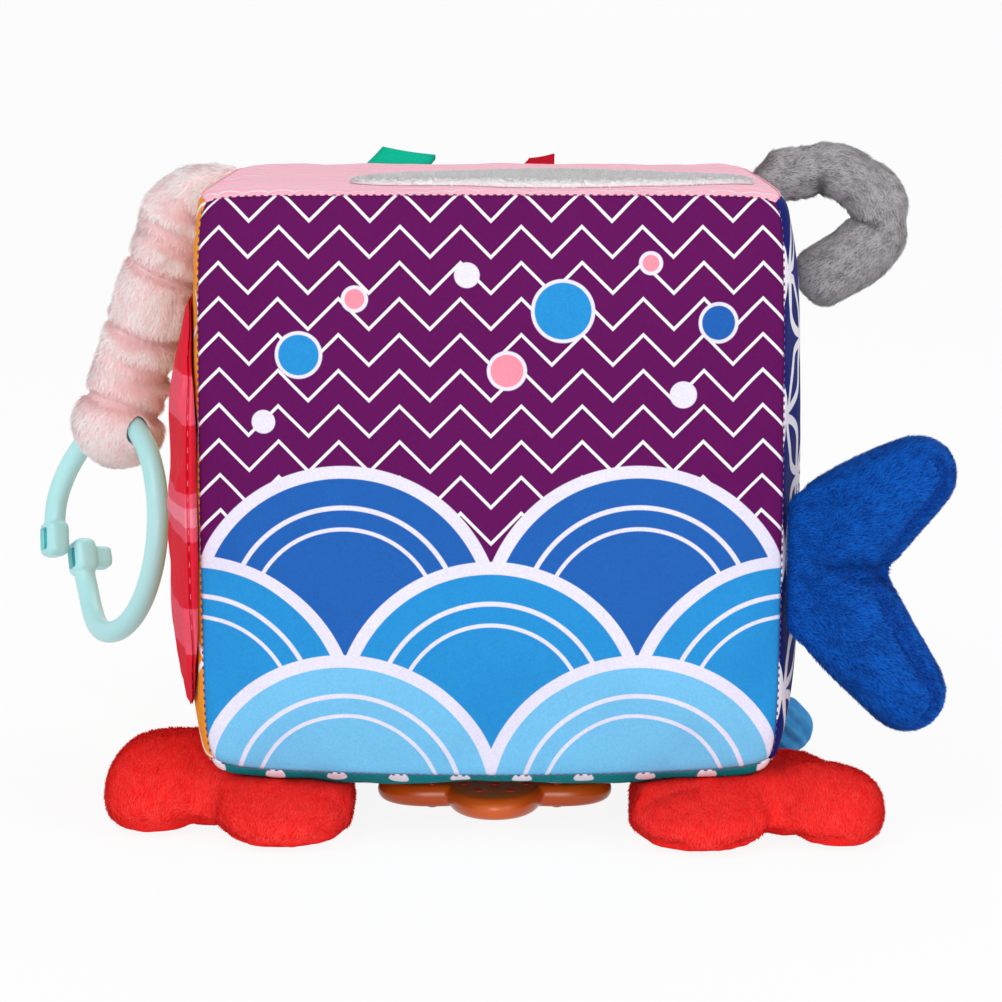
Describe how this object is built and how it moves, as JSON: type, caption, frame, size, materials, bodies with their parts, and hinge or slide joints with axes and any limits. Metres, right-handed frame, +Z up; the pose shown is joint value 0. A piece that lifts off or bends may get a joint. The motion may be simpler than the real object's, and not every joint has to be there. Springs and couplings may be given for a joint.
{
  "type": "soft activity cube",
  "caption": "Soft stuffed activity cube with printed cloth panels, plush limbs, a padded flap, ribbon tags, a split link ring and a teether on a ribbon.",
  "frame": {"origin": "middle of the bottom of the bounding box, on the table under the claws", "axes": "+X to the right of the front panel, +Y to the back, +Z up"},
  "size_m": [0.2548, 0.1674, 0.1772],
  "materials": {
    "foam": "soft foam block",
    "front_print": "printed woven cloth, purple with white zigzag lines",
    "back_print": "printed woven cloth, green",
    "left_print": "printed woven cloth, orange with white lines",
    "right_print": "printed woven cloth, navy with white arcs",
    "top_print": "printed woven cloth, pink with white scallops",
    "bottom_print": "printed woven cloth, teal with white dots",
    "grey_plush": "short pile plush",
    "green_ribbon": "satin ribbon",
    "red_ribbon": "satin ribbon",
    "flap_cloth": "printed woven cloth, red and pink stripes",
    "stuffing": "polyester stuffing",
    "blue_plush": "short pile plush",
    "pink_plush": "long pile plush",
    "mint_plastic": "moulded satin plastic",
    "red_plush": "long pile plush",
    "sky_cloth": "gathered brushed cloth",
    "navy_ribbon": "satin ribbon",
    "orange_silicone": "translucent moulded silicone"
  },
  "bodies": {
    "cube": {"foam_core": "foam", "front_panel": "front_print", "back_panel": "back_print", "left_panel": "left_print", "right_panel": "right_print", "top_panel": "top_print", "bottom_panel": "bottom_print", "top_patch": "grey_plush"},
    "green_tag": {"green_tag": "green_ribbon"},
    "red_tag": {"red_tag": "red_ribbon"},
    "flap": {"flap_back_cloth": "flap_cloth", "flap_wadding": "stuffing", "flap_front_cloth": "flap_cloth"},
    "tail": {"tail_front_skin": "blue_plush", "tail_back_skin": "blue_plush", "tail_stuffing": "stuffing"},
    "arm": {"arm_front_skin": "pink_plush", "arm_back_skin": "pink_plush", "arm_stuffing": "stuffing"},
    "ring": {"link_ring": "mint_plastic"},
    "trunk": {"trunk_front_skin": "grey_plush", "trunk_back_skin": "grey_plush", "trunk_stuffing": "stuffing"},
    "claw_left": {"claw_left_sole_skin": "red_plush", "claw_left_top_skin": "red_plush", "claw_left_stuffing": "stuffing"},
    "claw_right": {"claw_right_sole_skin": "red_plush", "claw_right_top_skin": "red_plush", "claw_right_stuffing": "stuffing"},
    "puff": {"puff_front_skin": "sky_cloth", "puff_back_skin": "sky_cloth", "puff_stuffing": "stuffing"},
    "teether": {"teether_ribbon": "navy_ribbon", "teether": "orange_silicone"}
  },
  "joints": [
    {"name": "tail_swing", "type": "hinge", "parent": "cube", "child": "tail", "pos_m": [0.08273, -0.07117, 0.072], "axis": [0, 0, 1], "range_deg": [-110, 30], "stiffness_Nm_per_rad": 0.002},
    {"name": "arm_swing", "type": "hinge", "parent": "cube", "child": "arm", "pos_m": [-0.06497, 0.05063, 0.1677], "axis": [0, 1, 0], "range_deg": [0, 115]},
    {"name": "ring_swing", "type": "hinge", "parent": "arm", "child": "ring", "pos_m": [-0.10017, 0.05063, 0.09507], "axis": [0.515, -0.8572, 0], "range_deg": [-33, 10]},
    {"name": "trunk_swing", "type": "hinge", "parent": "cube", "child": "trunk", "pos_m": [0.08271, 0.03282, 0.16798], "axis": [0, -1, 0], "range_deg": [0, 100]},
    {"name": "flap_open", "type": "hinge", "parent": "cube", "child": "flap", "pos_m": [-0.07339, -0.03017, 0.14], "axis": [0, 1, 0], "range_deg": [0, 130]},
    {"name": "claw_left_swing", "type": "hinge", "parent": "cube", "child": "claw_left", "pos_m": [-0.04927, 0.04783, 0.01803], "axis": [1, 0, 0], "range_deg": [0, 80]},
    {"name": "claw_right_swing", "type": "hinge", "parent": "cube", "child": "claw_right", "pos_m": [0.06673, 0.04783, 0.01803], "axis": [1, 0, 0], "range_deg": [0, 80]},
    {"name": "puff_swing", "type": "hinge", "parent": "cube", "child": "puff", "pos_m": [0.08271, 0.03282, 0.02002], "axis": [0, -1, 0], "range_deg": [0, 60]},
    {"name": "teether_swing", "type": "hinge", "parent": "cube", "child": "teether", "pos_m": [0.02763, 0.00109, 0.01621], "axis": [0.809, -0.5878, 0], "range_deg": [0, 60]},
    {"name": "green_tag_bend", "type": "hinge", "parent": "cube", "child": "green_tag", "pos_m": [-0.01927, 0.07702, 0.16819], "axis": [1, 0, 0], "range_deg": [-40, 50], "stiffness_Nm_per_rad": 0.0001},
    {"name": "red_tag_bend", "type": "hinge", "parent": "cube", "child": "red_tag", "pos_m": [0.02273, 0.07703, 0.1682], "axis": [1, 0, 0], "range_deg": [-40, 50], "stiffness_Nm_per_rad": 0.0001}
  ]
}
